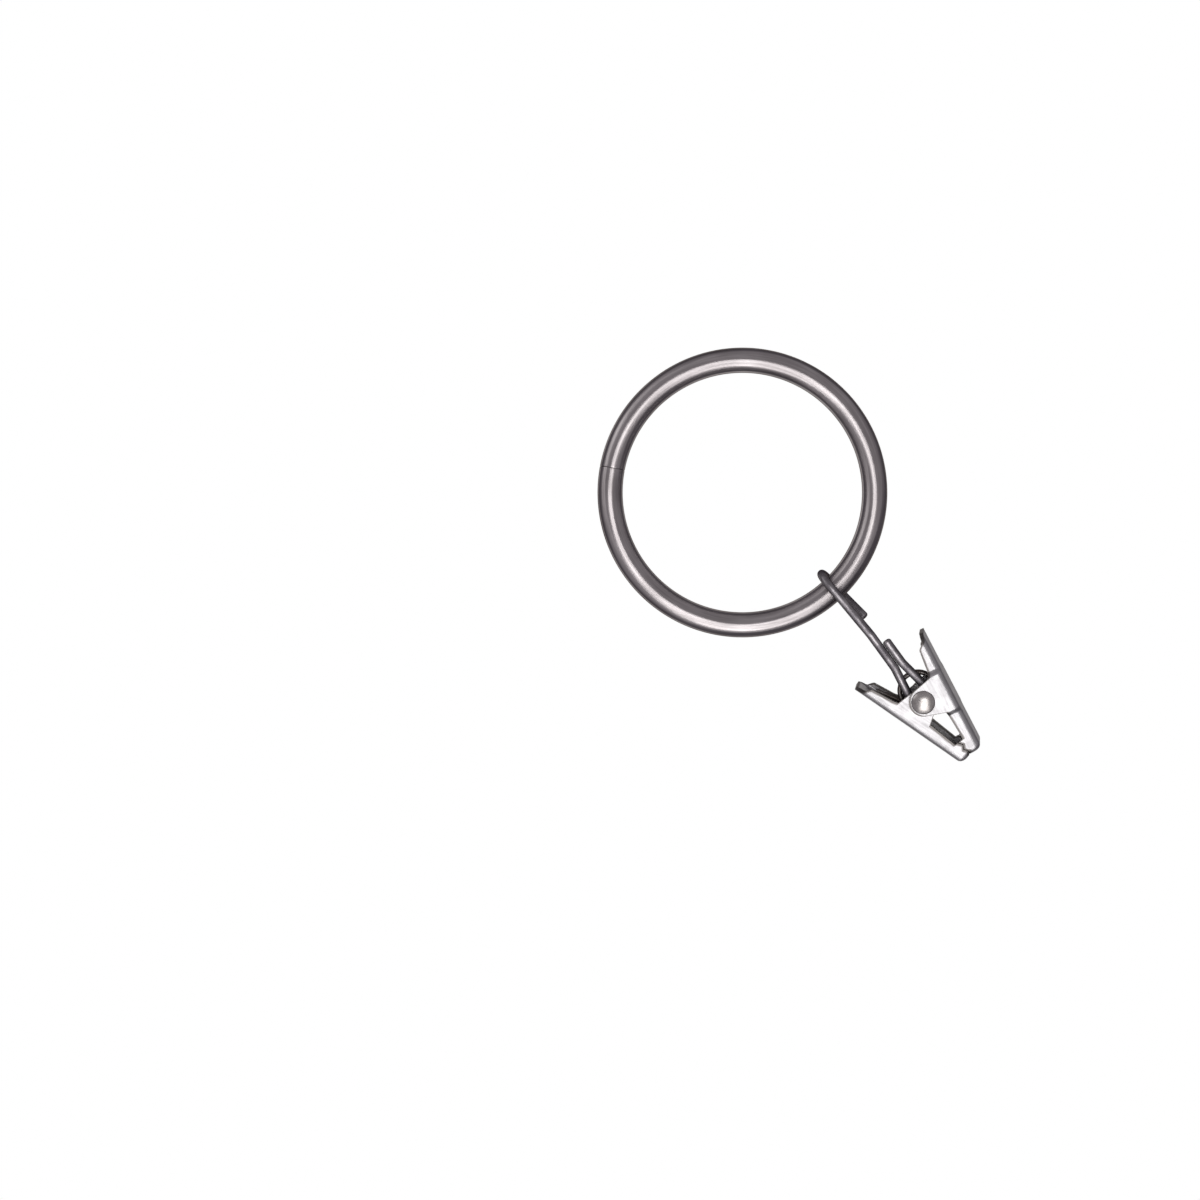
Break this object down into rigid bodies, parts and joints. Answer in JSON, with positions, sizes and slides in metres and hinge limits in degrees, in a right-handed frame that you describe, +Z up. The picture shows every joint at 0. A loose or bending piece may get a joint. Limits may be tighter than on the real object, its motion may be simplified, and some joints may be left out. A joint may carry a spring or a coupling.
{
  "type": "curtain ring with clip",
  "caption": "Round steel curtain ring with a wire hook and a spring-loaded sheet-metal clip hanging below it to grip the top edge of a curtain.",
  "frame": {"origin": "centre of the ring, where the axis of a curtain rod that carries it would pass", "axes": "+Y along the ring's axis, the way a curtain rod runs; +Z up as it hangs; the clip hangs toward -Z and its jaws open across X"},
  "size_m": [0.046, 0.0096, 0.0779],
  "materials": {
    "ring_plating": "satin nickel plating on steel rod, warm grey",
    "hook_wire": "satin nickel plating on drawn wire",
    "jaw_sheet": "bright nickel plating on stamped sheet",
    "rivet_steel": "nickel plated, headed and rolled",
    "spring_wire": "bare spring steel wire, dull grey"
  },
  "bodies": {
    "ring": {"ring": "ring_plating"},
    "hook": {"hook": "hook_wire"},
    "pivot": {"rivet": "rivet_steel", "spring": "spring_wire"},
    "outer_jaw": {"outer_jaw": "jaw_sheet"},
    "inner_jaw": {"inner_jaw": "jaw_sheet"}
  },
  "joints": [
    {"name": "hook_travel", "type": "hinge", "parent": "ring", "child": "hook", "pos_m": [0, 0, 0], "axis": [0, 1, 0], "continuous": true},
    {"name": "clip_swing", "type": "hinge", "parent": "hook", "child": "pivot", "pos_m": [0, 0, -0.0435], "axis": [0.225, 0.9744, 0], "range_deg": [-11, 22]},
    {"name": "outer_jaw_open", "type": "hinge", "parent": "pivot", "child": "outer_jaw", "pos_m": [0, 0, -0.0435], "axis": [-0.225, -0.9744, 0], "range_deg": [0, 12], "stiffness_Nm_per_rad": 0.12, "springref_deg": -14.9, "deforming": ["spring"]},
    {"name": "inner_jaw_open", "type": "hinge", "parent": "pivot", "child": "inner_jaw", "pos_m": [0, 0, -0.0435], "axis": [0.225, 0.9744, 0], "range_deg": [0, 12], "stiffness_Nm_per_rad": 0.12, "springref_deg": -14.9, "deforming": ["spring"]}
  ]
}
